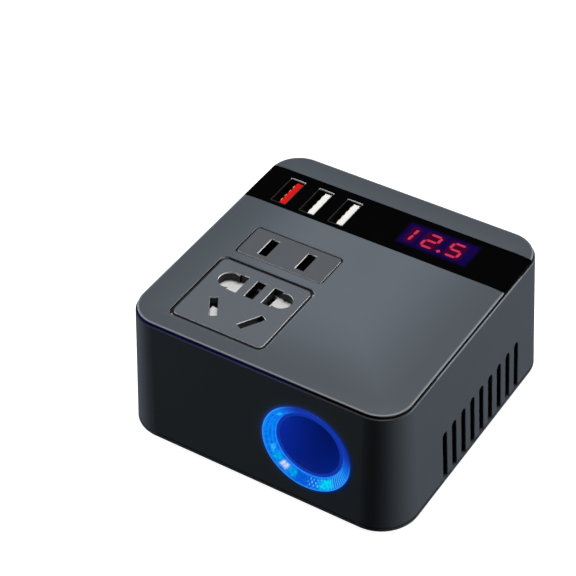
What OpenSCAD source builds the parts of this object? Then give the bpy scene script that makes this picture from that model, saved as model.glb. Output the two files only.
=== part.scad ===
// Small square power inverter: a flared plastic case with a lid full of outlets, three USB-A
// ports, a voltage display, a lit 12 V accessory socket in the front wall and a cooling fan
// behind the vent slots of the right wall.
// Millimetres. The origin is the centre of the footprint, on the surface under the feet.
// +X is right, +Y is back and +Z is up; the lit socket faces -Y.

/* [Case] */
// Width across the top edge of the case
body_w = 95; // [94:0.5:97]
// Depth across the top edge of the case
body_d = 94; // [93:0.5:96]
// Height of the case without its feet
body_h = 46; // [45.5:0.1:47]
// Radius of the upright corners at the top edge
corner_r = 10.5; // [10:0.1:11.5]
// How far each side wall leans out between the top and the base
flare = 2.3; // [1.5:0.1:2.6]
// Thickness of the housing wall
wall = 2.2; // [2:0.1:2.4]
// Height of the rubber feet below the base plate
foot_h = 1.0; // [0.5:0.1:2]

/* [Lid] */
// Height of the shadow gap between the lid and the housing
gap_h = 0.9; // [0.5:0.1:1.2]
// Thickness of the lid's visible edge
lid_edge = 0.7; // [0.6:0.1:1]
// How far the lid's top surface falls at its rim
crown_drop = 0.35; // [0.1:0.05:0.4]
// Width of the falling band around the lid
crown_w = 6; // [4:0.5:8]

/* [Display strip] */
// Front edge of the gloss strip
strip_y1 = 19.4; // [19:0.1:20]
// Back edge of the gloss strip
strip_y2 = 37.5; // [37:0.1:38]
// Thickness of the gloss strip
strip_t = 1.2; // [1:0.1:1.5]
// Height of a display digit
digit_h = 7.1; // [6:0.1:8]
// Width of a display digit
digit_w = 5.0; // [4.5:0.1:5.5]
// Distance between neighbouring digits
digit_pitch = 8.45; // [8:0.05:9]
// Width of a lit segment
segment_w = 0.95; // [0.7:0.05:1.1]
// Lean of the digits to the right, in degrees
digit_slant = 6; // [0:1:10]

/* [USB ports] */
// Distance between neighbouring ports
usb_pitch = 10.65; // [10:0.05:11]
// Outer width of a metal shell
usb_w = 5.7; // [5.6:0.1:5.8]
// Outer length of a metal shell
usb_l = 13.2; // [13:0.1:13.4]
// Depth of a metal shell
usb_h = 13.8; // [12:0.1:14]

/* [Outlets] */
// Width of the gap around the two-pin insert
insert_gap = 0.7; // [0.4:0.1:0.8]
// Depth of the moat around the universal outlet
moat_h = 0.7; // [0.4:0.1:1]
// Width of the moat around the universal outlet
moat_w = 1.3; // [1:0.1:1.6]
// Travel of the two-pin shutter
two_pin_travel = 7.0; // [5:0.5:7]
// Travel of the three-pin shutter
three_pin_travel = 5.3; // [4:0.1:5.3]

/* [Lit socket] */
// Distance of the socket's axis to the right of the centre
socket_x = 18; // [17:0.5:19]
// Height of the socket's axis at the wall
socket_z = 23.2; // [22.5:0.1:24]
// Outer radius of the lit ring
ring_r = 15.2; // [15:0.1:15.4]
// Radius of the mouth inside the lit ring
mouth_r = 11.7; // [11.5:0.1:11.8]
// Bore radius of the 12 V socket barrel
bore_r = 10.5; // [10.4:0.05:10.7]
// Length of the socket barrel
barrel_l = 34; // [30:1:36]

/* [Vents] */
// Number of vent slots
vent_count = 9; // [5:1:9]
// Distance between neighbouring vent slots
vent_pitch = 5.75; // [5.5:0.05:5.9]
// Width of a vent slot
vent_w = 2.75; // [2:0.05:3]
// Height of the top of the vent slots
vent_top = 21.3; // [18:0.1:24]

/* [Fan] */
// Side of the square fan frame
fan_s = 25; // [24:0.5:25]
// Thickness of the fan
fan_t = 10; // [8:0.5:10]
// Number of fan blades
blade_count = 7; // [5:1:9]

/* [Rear wall] */
// Distance of the rocker switch to the right of the centre
rocker_x = 22; // [18:0.5:24]
// Height of the rocker switch's centre
rocker_z = 22.5; // [22:0.5:23]
// Angle between the two positions of the rocker
rocker_swing = 12; // [8:1:12]
// Distance of the cable gland from the centre
gland_x = -22; // [-26:0.5:-18]
// Height of the gland's axis
gland_z = 20; // [18:0.5:24]
// Bore radius of the cable gland
gland_bore_r = 3.5; // [3:0.1:3.8]

/* [Hidden] */

$fn = 48;
far = 60;            // longer than any wall is thick, for cutters
soft = 0.3;          // softening of the case's visible edges

// Case levels
top_z = foot_h + body_h;
strip_edge_z = foot_h + 1.0;    // top of the base plate's visible edge
seat_z = strip_edge_z + 0.45;   // where the housing stands on the base plate
plate_z = seat_z + 0.95;        // inside face of the base plate
lid_z = top_z - lid_edge;
rim_z = lid_z - gap_h;          // top of the housing
lip_z = rim_z - 1.2;            // underside of the lid
corner_x = body_w / 2 - corner_r;
corner_y = body_d / 2 - corner_r;
lean_angle = atan(flare / body_h);

// Case corner radius, wall faces and lid reach
function reach(z) = corner_r + flare * (top_z - z) / body_h;
function wall_x(z) = corner_x + reach(z);
function wall_y(z) = corner_y + reach(z);
lid_reach = corner_r - 0.5;
waist_reach = reach(rim_z) - 1.35;
lip_reach = reach(rim_z) - wall - 0.25;

// Case fasteners and feet
post_x = corner_x + 4.5;
post_y = corner_y + 4.5;
post_r = 3.2;
post_top = 18;
web = [2.6, 1.4];               // length and thickness of a post's web
pilot_r = 1.3;
screw_r = 1.25;
foot_x = 33;
foot_y = 33;
foot_r = 4.8;
foot_inset = 0.6;

// USB ports
usb_x = [-35.4, -35.4 + usb_pitch, -35.4 + 2 * usb_pitch];
usb_y = 27.8;
usb_top = top_z - 0.15;
usb_wall = 0.3;
tongue_t = 2.3;
tongue_w = 11.2;
tongue_x = 1.2;                 // centre of the tongue, to the right of the port's centre

// Display
window_x = [6.2, 31.6];
window_y = [23.3, 34.7];
digits_x = 16.5;                // centre of the middle digit
digits_y = 29.05;
inlay = 0.12;
display_z = 41.6;               // underside of the display module

// Two-pin insert
insert_x = [-33.4, -2.85];
insert_y = [-5.5, 7.3];
insert_slot = [3.3, 8.4];
insert_slots_x = [-25.45, -11.8];
insert_slots_y = 0.65;

// Universal outlet
outlet_x = [-34.4, -2.6];
outlet_y = [-39.4, -10.5];
outlet_skin = 3.0;
outlet_mid = -18.1;
row_y = -18.4;                  // two-pin row and earth slot
round_off = 9.4;                // round hole from the outlet's middle line
round_r = 3.6;
flat_off = 6.2;
flat_slot = [3.4, 8.2];
pole_off = 6.8;                 // live and neutral slots from the middle line
pole_y = -31.1;
pole_slot = [2.6, 8.6];
pole_tilt = 31;
earth_slot = [3.4, 8.2];
pocket_top = top_z - outlet_skin;
pocket_h = 2.0;
deck_z = pocket_top - pocket_h;
carrier_floor = 27;
tail_y = -25;                   // solder tails of the three contacts
tail_h = 1.2;
play = 0.15;                    // shutter clearance above and below

// Shutters
pad_y = [-20.9, -13.9];
pad_x = [[-31.2, -23.6], [-12.6, -5.0]];
bridge_y = [-14.4, -12.0];
pole_pad_y = [-38.2, -28.2];
pole_pad_x = [[-27.3, -22.3], [-13.7, -8.7]];
pole_bridge_y = [-38.2, -35.9];
spring_half = 0.75;             // half the width of a folded spring
spring_t = 0.3;                 // thickness of its strip, along the spring
spring_w = 1.4;                 // height of its strip
spring_z = deck_z + pocket_h / 2;
two_spring_x = [-21.6, -14.6];
two_spring_y = [-26.2, bridge_y[0]];
three_spring_x = [-21.0, pole_pad_x[1][0]];
three_spring_y = -33;

// Lit socket, in its own frame: +Z leaves the case along the socket's axis
funnel_h = 2.0;
ring_rim = 0.25;                // how far the ring stands proud of the wall
sleeve_r = 14.2;
sleeve_l = 6.0;
barrel_mouth = -funnel_h - 0.1; // level of the barrel's rim
barrel_t = mouth_r - bore_r - 0.1;
barrel_end = barrel_mouth - barrel_l;

// Circuit board
board_x = 37.5;
board_y = 38;
board_z = 6.0;
board_t = 1.6;
board_top = board_z + board_t;
board_screw_x = 34.4;
board_screw_y = 35;

// Fan
fan_x = 34;
fan_y = 3.75;
fan_z = 21.5;
rail_t = 1.8;
duct_r = fan_s / 2 - 0.9;
hub_r = 5.2;

// ---------- shared shapes ----------

// Solid of the case's footprint; each profile point is [corner radius, height], bottom to top
module case_solid(profile) {
    right = [for (p = profile) [corner_x + p[0], p[1]]];
    back = [for (p = profile) [corner_y + p[0], p[1]]];
    rotate([90, 0, 0]) linear_extrude(2 * corner_y, center = true)
        polygon(concat(right, [for (i = [len(right) - 1:-1:0]) [-right[i][0], right[i][1]]]));
    rotate([90, 0, 90]) linear_extrude(2 * corner_x, center = true)
        polygon(concat(back, [for (i = [len(back) - 1:-1:0]) [-back[i][0], back[i][1]]]));
    for (i = [-1, 1], j = [-1, 1]) translate([i * corner_x, j * corner_y, 0]) rotate_extrude()
        polygon(concat([[0, profile[0][1]]], profile, [[0, profile[len(profile) - 1][1]]]));
}

// Flat rectangle between two corners, with round corners
module soft_rect(x, y, r) {
    translate([x[0] + r, y[0]]) square([x[1] - x[0] - 2 * r, y[1] - y[0]]);
    translate([x[0], y[0] + r]) square([x[1] - x[0], y[1] - y[0] - 2 * r]);
    for (i = [x[0] + r, x[1] - r], j = [y[0] + r, y[1] - r]) translate([i, j]) circle(r);
}

// Upright block between two corners with round corners
module soft_block(x, y, z, r) translate([0, 0, z[0]]) linear_extrude(z[1] - z[0]) soft_rect(x, y, r);

// Block between two corners
module block(x, y, z) translate([x[0], y[0], z[0]]) cube([x[1] - x[0], y[1] - y[0], z[1] - z[0]]);

// Upright block centred on a point in plan
module post(at, size, z) block([at[0] - size[0] / 2, at[0] + size[0] / 2],
                               [at[1] - size[1] / 2, at[1] + size[1] / 2], z);

module ring(r_out, r_in, z) translate([0, 0, z[0]]) difference() {
    cylinder(r = r_out, h = z[1] - z[0]);
    translate([0, 0, -1]) cylinder(r = r_in, h = z[1] - z[0] + 2);
}

// Puts its children on the front or rear wall, square to the leaning face, +Z outwards
module on_front(x, z) translate([x, -wall_y(z), z]) rotate([90 - lean_angle, 0, 0]) children();
module on_rear(x, z) translate([x, wall_y(z), z]) rotate([lean_angle - 90, 0, 0]) children();

module at_corners(x, y) for (i = [-1, 1], j = [-1, 1]) translate([i * x, j * y, 0]) children();

// Folded strip spring along +Y, centred on the origin's height
module zigzag(length, folds) {
    step = (length - spring_t) / folds;
    function fold(k) = [spring_half * (k % 2 == 0 ? 1 : -1), k * step];
    translate([0, 0, -spring_w / 2]) linear_extrude(spring_w) for (k = [0:folds - 1])
        polygon([fold(k), fold(k + 1), fold(k + 1) + [0, spring_t], fold(k) + [0, spring_t]]);
}

// Countersunk or pan-head screw pointing up, its head's face at z = 0
module screw(head_r, head_h, shank_r, length) difference() {
    union() {
        cylinder(r = head_r, h = head_h);
        cylinder(r = shank_r, h = length);
    }
    for (a = [0, 90]) rotate([0, 0, a])
        block([-head_r * 0.6, head_r * 0.6], [-0.35, 0.35], [-1, 0.6]);
}

// ---------- case ----------

crown = [for (i = [0:4]) let (t = i / 4)
    [lid_reach - soft - crown_w * t, top_z - crown_drop * pow(1 - t, 2)]];

module lid_blank() case_solid(concat(
    [[lip_reach, lip_z], [lip_reach, rim_z], [waist_reach, rim_z], [waist_reach, lid_z],
     [lid_reach, lid_z], [lid_reach, top_z - crown_drop - soft],
     [lid_reach - soft * 0.3, top_z - crown_drop - soft * 0.3]], crown));

module strip_space() block([-far, far], [strip_y1, strip_y2], [top_z - strip_t, top_z + 1]);

module usb_windows(grow) for (x = usb_x)
    soft_block([x - usb_w / 2 - grow, x + usb_w / 2 + grow],
               [usb_y - usb_l / 2 - grow, usb_y + usb_l / 2 + grow], [lip_z - 5, top_z + 1], 0.5);

module top_cover() color([0.36, 0.38, 0.41]) difference() {
    lid_blank();
    strip_space();
    usb_windows(0.3);
    block(window_x, window_y, [lip_z - 1, top_z]);
    soft_block([insert_x[0] - insert_gap, insert_x[1] + insert_gap],
               [insert_y[0] - insert_gap, insert_y[1] + insert_gap], [lip_z - 1, top_z + 1], 1.6);
    soft_block([outlet_x[0] - moat_w, outlet_x[1] + moat_w],
               [outlet_y[0] - moat_w, outlet_y[1] + moat_w], [top_z - moat_h, top_z + 1], 2.6);
    soft_block([outlet_x[0] - 0.05, outlet_x[1] + 0.05],
               [outlet_y[0] - 0.05, outlet_y[1] + 0.05], [lip_z - 1, top_z + 1], 1.8);
}

module vent_slots() for (i = [0:vent_count - 1])
    translate([corner_x + 2, fan_y + (i - (vent_count - 1) / 2) * vent_pitch, 0]) {
        translate([0, -vent_w / 2, 0]) cube([far, vent_w, vent_top - vent_w / 2]);
        translate([0, 0, vent_top - vent_w / 2]) rotate([0, 90, 0]) cylinder(r = vent_w / 2, h = far);
    }

module housing() color([0.3, 0.32, 0.35]) difference() {
    union() {
        difference() {
            case_solid([[reach(seat_z) - soft, seat_z], [reach(seat_z + soft), seat_z + soft],
                        [reach(rim_z - soft), rim_z - soft],
                        [reach(rim_z) - soft * 0.35, rim_z - soft * 0.3],
                        [reach(rim_z) - soft, rim_z]]);
            case_solid([[reach(seat_z - 1) - wall, seat_z - 1], [reach(rim_z + 1) - wall, rim_z + 1]]);
            vent_slots();
        }
        // screw posts, each webbed into its corner
        at_corners(post_x, post_y) translate([0, 0, plate_z]) cylinder(r = post_r, h = post_top - plate_z);
        for (i = [-1, 1], j = [-1, 1]) translate([i * post_x, j * post_y, plate_z])
            rotate([0, 0, atan2(j, i)]) translate([post_r - 0.8, -web[1] / 2, 0])
                cube([web[0], web[1], post_top - plate_z]);
        // rails that hold the fan by its sides
        for (y = [fan_y - fan_s / 2 - rail_t, fan_y + fan_s / 2])
            block([fan_x + 1, wall_x(plate_z) - wall], [y, y + rail_t], [board_top + 0.6, fan_z + 6]);
    }
    at_corners(post_x, post_y) translate([0, 0, plate_z - 1]) cylinder(r = pilot_r, h = 12);
    on_front(socket_x, socket_z) translate([0, 0, -far / 2]) cylinder(r = sleeve_r + 0.1, h = far);
    on_rear(rocker_x, rocker_z) block([-8.6, 8.6], [-5.6, 5.6], [-10, 10]);
    on_rear(gland_x, gland_z) translate([0, 0, -10]) cylinder(r = gland_r + 0.1, h = 20);
}

module base_plate() color([0.28, 0.3, 0.33]) difference() {
    union() {
        case_solid([[reach(foot_h) - soft, foot_h], [reach(foot_h + soft), foot_h + soft],
                    [reach(strip_edge_z), strip_edge_z], [reach(strip_edge_z) - 0.9, strip_edge_z],
                    [reach(seat_z) - 0.9, seat_z], [reach(seat_z) - wall - 0.25, seat_z],
                    [reach(seat_z) - wall - 0.25, plate_z]]);
        at_corners(board_screw_x, board_screw_y) translate([0, 0, plate_z])
            cylinder(r = 2.6, h = board_z - plate_z);
    }
    at_corners(post_x, post_y) {
        translate([0, 0, foot_h - 1]) cylinder(r = 1.6, h = 10);
        translate([0, 0, foot_h - 1]) cylinder(r = 2.9, h = 2.3);
    }
    at_corners(foot_x, foot_y) translate([0, 0, foot_h - 1]) cylinder(r = foot_r + 0.1, h = 1 + foot_inset);
    at_corners(board_screw_x, board_screw_y) translate([0, 0, foot_h + 1.2]) cylinder(r = 1.05, h = 10);
    // cooling slits across the middle
    for (i = [-4:4]) soft_block([-14, 14], [i * 5 - 0.9, i * 5 + 0.9], [foot_h - 1, plate_z + 1], 0.8);
}

module rubber_feet() color([0.09, 0.09, 0.1]) at_corners(foot_x, foot_y) rotate_extrude()
    polygon([[0, 0], [foot_r - 0.4, 0], [foot_r, 0.4],
             [foot_r, foot_h + foot_inset], [0, foot_h + foot_inset]]);

module case_screws() color([0.6, 0.6, 0.62]) at_corners(post_x, post_y) translate([0, 0, foot_h + 0.1])
    screw(2.7, 1.2, screw_r, 12);

// ---------- display strip ----------

module display_strip() color([0.02, 0.02, 0.02]) difference() {
    intersection() {
        lid_blank();
        block([-far, far], [strip_y1 + 0.05, strip_y2 - 0.05], [top_z - strip_t, top_z + 1]);
    }
    usb_windows(0.15);
    block(window_x, window_y, [top_z - strip_t - 1, top_z + 1]);
}

// One lit segment lying along +X from the origin's centre, with pointed ends
module segment(length) {
    h = segment_w / 2;
    polygon([[-length / 2 - h * 0.4, 0], [-length / 2 + h * 0.6, h], [length / 2 - h * 0.6, h],
             [length / 2 + h * 0.4, 0], [length / 2 - h * 0.6, -h], [-length / 2 + h * 0.6, -h]]);
}

// Seven-segment digit centred on the origin; lit is seven flags, a to g
module digit(lit) {
    w = digit_w - segment_w;
    h = digit_h - segment_w;
    lean = tan(digit_slant);
    gap = 0.25;
    for (i = [0:2]) let (y = [h / 2, 0, -h / 2][i]) if (lit[[0, 6, 3][i]])
        translate([y * lean, y]) segment(w - segment_w * 0.6 - gap);
    for (i = [0:3]) let (x = [w / 2, w / 2, -w / 2, -w / 2][i], y = [h / 4, -h / 4, -h / 4, h / 4][i])
        if (lit[[1, 2, 4, 5][i]])
            translate([x + y * lean, y]) rotate(90 - digit_slant) segment(h / 2 - gap * 2.4);
}

module lit_shapes() translate([digits_x, digits_y]) {
    translate([-digit_pitch, 0]) digit([false, true, true, false, false, false, false]);
    digit([true, true, false, true, true, false, true]);
    translate([digit_pitch, 0]) digit([true, false, true, true, false, true, true]);
    translate([4.0, -digit_h / 2 + 0.55]) rotate(45) square(1.15, center = true);
}

module display_digits() color([0.95, 0.12, 0.2])
    translate([0, 0, top_z - inlay]) linear_extrude(inlay) lit_shapes();

module display_window() color([0.05, 0.02, 0.3]) difference() {
    block(window_x, window_y, [top_z - strip_t, top_z]);
    translate([0, 0, top_z - inlay]) linear_extrude(1) lit_shapes();
}

module display_module() color([0.9, 0.9, 0.88])
    block(window_x + [0.3, -0.3], window_y + [0.3, -0.3], [display_z, top_z - strip_t]);

module display_board() color([0.1, 0.32, 0.18]) difference() {
    block(window_x + [-2.5, 2.5], window_y + [-2.5, 2.5], [display_z - board_t, display_z]);
    for (x = [window_x[0] - 1, window_x[1] + 1], y = [window_y[0] - 1, window_y[1] + 1])
        translate([x, y, display_z - 3]) cylinder(r = 0.7, h = 5);
}

// ---------- USB ports ----------

module usb_shell(x) color([0.75, 0.76, 0.78]) difference() {
    soft_block([x - usb_w / 2, x + usb_w / 2], [usb_y - usb_l / 2, usb_y + usb_l / 2],
               [usb_top - usb_h, usb_top], 0.5);
    block([x - usb_w / 2 + usb_wall, x + usb_w / 2 - usb_wall],
          [usb_y - usb_l / 2 + usb_wall, usb_y + usb_l / 2 - usb_wall], [usb_top - usb_h - 1, usb_top + 1]);
}

module usb_tongue(x) difference() {
    union() {
        block([x + tongue_x - tongue_t / 2, x + tongue_x + tongue_t / 2],
              [usb_y - tongue_w / 2, usb_y + tongue_w / 2], [usb_top - usb_h, usb_top - 0.5]);
        block([x - usb_w / 2 + usb_wall, x + usb_w / 2 - usb_wall],
              [usb_y - usb_l / 2 + usb_wall, usb_y + usb_l / 2 - usb_wall],
              [usb_top - usb_h, usb_top - usb_h + 2.5]);
    }
    usb_contact_row(x);
}

// Four gold strips standing out of the left face of a tongue
module usb_contact_row(x) for (i = [-1.5:1.5])
    block([x + tongue_x - tongue_t / 2 - 0.45, x + tongue_x - tongue_t / 2 + 0.15],
          [usb_y + i * 2.45 - 0.55, usb_y + i * 2.45 + 0.55], [usb_top - usb_h + 2.5, usb_top - 0.8]);

module usb_shell_left() usb_shell(usb_x[0]);
module usb_shell_middle() usb_shell(usb_x[1]);
module usb_shell_right() usb_shell(usb_x[2]);
module usb_tongue_left() color([0.8, 0.1, 0.08]) usb_tongue(usb_x[0]);
module usb_tongue_middle() color([0.95, 0.95, 0.93]) usb_tongue(usb_x[1]);
module usb_tongue_right() color([0.95, 0.95, 0.93]) usb_tongue(usb_x[2]);
module usb_contacts() color([0.85, 0.68, 0.3]) for (x = usb_x) usb_contact_row(x);

module usb_board() color([0.1, 0.32, 0.18]) difference() {
    block([usb_x[0] - 4.5, usb_x[2] + 4.5], [usb_y - 8.6, usb_y + 8.6],
          [usb_top - usb_h - board_t, usb_top - usb_h]);
    for (x = [usb_x[0] - 3.4, usb_x[2] + 3.4], y = [-7.5, 7.5])
        translate([x, usb_y + y, 30]) cylinder(r = 0.6, h = 5);
}

// ---------- two-pin outlet ----------

module two_pin_insert() color([0.38, 0.39, 0.41]) {
    side = 1.2;
    bottom = 33;
    difference() {
        union() {
            soft_block(insert_x, insert_y, [bottom, top_z], 0.9);
            soft_block([insert_x[0] - 2, insert_x[1] + 2], [insert_y[0] - 2, insert_y[1] + 2],
                       [lip_z - 1.4, lip_z], 1.6);
        }
        block([insert_x[0] + side, insert_x[1] - side], [insert_y[0] + side, insert_y[1] - side],
              [bottom + 1.2, top_z - 1.1]);
        for (x = insert_slots_x) post([x, insert_slots_y], insert_slot, [top_z - 2, top_z + 1]);
        for (x = insert_slots_x) post([x, insert_slots_y], [3, 1.4], [bottom - 1, bottom + 2]);
    }
}

// Two folded brass leaves that grip one flat pin, on a solder tail
module leaf_pair(at, gap, width, z, tail_z) {
    for (s = [-1, 1]) post([at[0] + s * (gap / 2 + 0.25), at[1]], [0.5, width], [z[0] + 0.5, z[1]]);
    post(at, [gap + 1.0, width], [z[0], z[0] + 0.5]);
    post(at, [2.4, 0.8], [tail_z, z[0]]);
}

module two_pin_contacts() color([0.8, 0.62, 0.28]) for (x = insert_slots_x)
    leaf_pair([x, insert_slots_y], 1.4, 6.4, [34.2, 41.5], 30.5);

// ---------- universal outlet ----------

module pin_holes(z) {
    for (s = [-1, 1]) {
        translate([outlet_mid + s * round_off, row_y, z[0]]) cylinder(r = round_r, h = z[1] - z[0]);
        post([outlet_mid + s * flat_off, row_y], flat_slot, z);
        translate([outlet_mid + s * pole_off, pole_y, z[0]]) rotate([0, 0, -s * pole_tilt])
            post([0, 0], pole_slot, [0, z[1] - z[0]]);
    }
    post([outlet_mid, row_y], earth_slot, z);
}

module outlet_plate() color([0.38, 0.4, 0.43]) difference() {
    union() {
        soft_block(outlet_x, outlet_y, [deck_z, top_z], 1.75);
        soft_block([outlet_x[0] - 2, outlet_x[1] + 1.6], [outlet_y[0] - 2, outlet_y[1] + 0.8],
                   [lip_z - 1.2, lip_z], 2);
    }
    pin_holes([pocket_top - 1, top_z + 1]);
    // space for the shutters
    block(outlet_x + [1.2, -1.2], outlet_y + [0.9, -0.9], [deck_z - 1, pocket_top]);
}

module spring_stops() {
    for (x = two_spring_x) post([x, two_spring_y[0] - 0.5], [1.8, 1], [deck_z, deck_z + 1.7]);
    post([three_spring_x[0] - 0.5, three_spring_y], [1, 1.8], [deck_z, deck_z + 1.7]);
}

module outlet_carrier() color([0.16, 0.16, 0.17]) {
    side = 1.2;
    difference() {
        block(outlet_x + [0.4, -0.4], outlet_y + [0.4, -0.4], [carrier_floor, deck_z]);
        block(outlet_x + [0.4 + side, -0.4 - side], outlet_y + [0.4 + side, -0.4 - side],
              [carrier_floor + side, deck_z - side]);
        pin_holes([deck_z - side - 1, deck_z + 1]);
        for (s = [-1, 0, 1])
            post([outlet_mid + s * 8, tail_y], [3, 1.6], [carrier_floor - 1, carrier_floor + 2]);
    }
    spring_stops();
}

// Brass strip with one grip for a flat or round pin of the two-pin row and one for a tilted pin
module pole_contact(s) {
    z = [carrier_floor + 1.4, 39.6];
    x = outlet_mid + s * (round_off - 1.2);
    for (k = [-1, 1]) post([x, row_y + k * 3.2], [6.5, 0.6], [z[0] + 0.8, z[1]]);
    translate([outlet_mid + s * pole_off, pole_y, 0]) rotate([0, 0, -s * pole_tilt])
        for (k = [-1, 1]) post([k * 1.15, 0], [0.6, 6.4], [z[0] + 0.8, z[1]]);
    post([outlet_mid + s * 8, (row_y + pole_y) / 2], [5, 22], [z[0], z[0] + 0.8]);
    post([outlet_mid + s * 8, tail_y], [2.4, 0.8], [carrier_floor - tail_h, z[0]]);
}

module live_contact() color([0.8, 0.62, 0.28]) pole_contact(1);
module neutral_contact() color([0.8, 0.62, 0.28]) pole_contact(-1);

module earth_contact() color([0.8, 0.62, 0.28]) {
    z = carrier_floor + 1.4;
    for (k = [-1, 1]) post([outlet_mid + k * 1.15, row_y], [0.6, 6.4], [z + 0.8, 39.6]);
    post([outlet_mid, row_y - 3], [3, 14], [z, z + 0.8]);
    post([outlet_mid, tail_y], [2.4, 0.8], [carrier_floor - tail_h, z]);
}

// ---------- shutters ----------

// Two ramped pads under the two-pin row, joined behind the earth slot; slides to the front
module two_pin_shutter() color([0.94, 0.94, 0.93]) {
    z = [deck_z + play, pocket_top - play];
    for (x = pad_x) translate([x[0], 0, 0]) rotate([90, 0, 90]) linear_extrude(x[1] - x[0])
        polygon([[pad_y[0], z[0]], [pad_y[1], z[0]], [pad_y[1], z[1] - 0.5], [pad_y[0], z[1]]]);
    block([pad_x[0][0], pad_x[1][1]], bridge_y, [z[0], z[1] - 0.5]);
}

// Two ramped pads under the three-pin row, joined at the front; slides to the left
module three_pin_shutter() color([0.94, 0.94, 0.93]) {
    z = [deck_z + play, pocket_top - play];
    for (x = pole_pad_x) translate([0, pole_pad_y[1], 0]) rotate([90, 0, 0])
        linear_extrude(pole_pad_y[1] - pole_pad_y[0])
            polygon([[x[0], z[0]], [x[1], z[0]], [x[1], z[1] - 0.5], [x[0], z[1]]]);
    block([pole_pad_x[0][0], pole_pad_x[1][1]], pole_bridge_y, [z[0], z[1] - 0.5]);
}

module two_pin_springs() color([0.7, 0.7, 0.72]) for (x = two_spring_x)
    translate([x, two_spring_y[0], spring_z]) zigzag(two_spring_y[1] - two_spring_y[0], 9);

module three_pin_spring() color([0.7, 0.7, 0.72])
    translate([three_spring_x[0], three_spring_y, spring_z]) rotate([0, 0, -90])
        zigzag(three_spring_x[1] - three_spring_x[0], 7);

// ---------- lit socket ----------

module halo_ring() color([0.15, 0.5, 0.95]) on_front(socket_x, socket_z) rotate_extrude()
    polygon([[ring_r, 0.02], [ring_r, ring_rim * 0.6], [ring_r - 0.25, ring_rim], [ring_r - 0.8, ring_rim],
             [mouth_r, -funnel_h], [mouth_r, -sleeve_l], [sleeve_r, -sleeve_l], [sleeve_r, 0.02]]);

module halo_board() color([0.92, 0.92, 0.9]) on_front(socket_x, socket_z)
    ring(sleeve_r, mouth_r + 0.1, [-sleeve_l - 2.2, -sleeve_l - 1.2]);

module halo_leds() color([0.8, 0.9, 1.0]) on_front(socket_x, socket_z) for (a = [0:45:315])
    rotate([0, 0, a + 15]) post([(mouth_r + sleeve_r) / 2, 0], [2, 3], [-sleeve_l - 1.2, -sleeve_l - 0.1]);

module socket_barrel() color([0.72, 0.73, 0.75]) on_front(socket_x, socket_z) {
    ring(bore_r + barrel_t, bore_r, [barrel_end, barrel_mouth]);
    ring(sleeve_r, bore_r + barrel_t, [-sleeve_l - 3.2, -sleeve_l - 2.2]);
}

// Disc that closes the inner end of the barrel and carries the contact for the plug's tip
module socket_insulator() color([0.5, 0.22, 0.1]) on_front(socket_x, socket_z)
    ring(bore_r + barrel_t, 2.1, [barrel_end - 3, barrel_end]);

module socket_centre_contact() color([0.8, 0.62, 0.28]) on_front(socket_x, socket_z)
    translate([0, 0, barrel_end]) rotate_extrude()
        polygon([[0, -7], [1.2, -7], [1.2, -4.5], [3.2, -4.5], [3.2, -3], [2, -3],
                 [2, -0.4], [1.6, 0], [0, 0]]);

// Ring nut that clamps the lit ring to the wall from inside
module socket_nut() color([0.2, 0.2, 0.22]) on_front(socket_x, socket_z) difference() {
    translate([0, 0, -wall - 3]) cylinder(r = 17, h = 3, $fn = 12);
    translate([0, 0, -wall - 4]) cylinder(r = sleeve_r + 0.02, h = 5);
}

// ---------- power electronics ----------

module main_board() color([0.1, 0.35, 0.18]) difference() {
    soft_block([-board_x, board_x], [-board_y, board_y], [board_z, board_top], 1.5);
    at_corners(board_screw_x, board_screw_y) translate([0, 0, board_z - 1]) cylinder(r = 1.4, h = 4);
}

module board_screws() color([0.6, 0.6, 0.62]) at_corners(board_screw_x, board_screw_y)
    translate([0, 0, board_top + 1.3]) rotate([180, 0, 0]) screw(2.4, 1.3, 1.0, 6.2);

transformer_at = [-20, 21, board_top + 0.2];

module transformer_core() color([0.22, 0.22, 0.24]) translate(transformer_at) difference() {
    block([-14, 14], [-5, 5], [0, 22]);
    for (s = [-1, 1]) block([s * 7.5 - 3.1, s * 7.5 + 3.1], [-6, 6], [4, 18]);
}

module transformer_bobbin() color([0.1, 0.1, 0.1]) translate(transformer_at) difference() {
    union() {
        block([-5.2, 5.2], [-6.2, 6.2], [4.1, 17.9]);
        for (z = [4.1, 16.9]) block([-10.3, 10.3], [-11, 11], [z, z + 1]);
        for (y = [-11, 9]) block([-9, 9], [y, y + 2], [0, 4.1]);
    }
    block([-4.45, 4.45], [-5.05, 5.05], [3, 19]);
}

module transformer_winding() color([0.85, 0.65, 0.15]) translate(transformer_at) difference() {
    soft_block([-10, 10], [-10.6, 10.6], [5.1, 16.9], 3);
    block([-5.2, 5.2], [-6.2, 6.2], [4, 18]);
}

module capacitor(at, r, h) translate([at[0], at[1], board_top]) difference() {
    rotate_extrude() polygon([[0, 0], [r, 0], [r, 1.6], [r - 0.35, 2.0], [r, 2.4],
                              [r, h - 0.5], [r - 0.5, h], [0, h]]);
    for (a = [0, 60, 120]) rotate([0, 0, a]) translate([-r * 0.7, -0.2, h - 0.3]) cube([r * 1.4, 0.4, 1]);
}

module bus_capacitor() color([0.12, 0.14, 0.3]) capacitor([6, 14], 8, 24);

module filter_capacitors() color([0.12, 0.14, 0.3]) for (at = [[0, 29.5], [11, 29.5], [20, 14]])
    capacitor(at, 5, 17);

module power_transistors() color([0.1, 0.1, 0.11]) for (i = [0:3]) {
    y = -26.8 + i * 10.4;
    block([-25.5, -21.1], [y - 5, y + 5], [board_top + 2.5, board_top + 11.5]);
    block([-25.5, -24.2], [y - 5, y + 5], [board_top + 11.5, board_top + 17]);
    for (k = [-2.54, 0, 2.54]) post([-23.35, y + k], [0.5, 0.8], [board_top, board_top + 2.5]);
}

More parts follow.
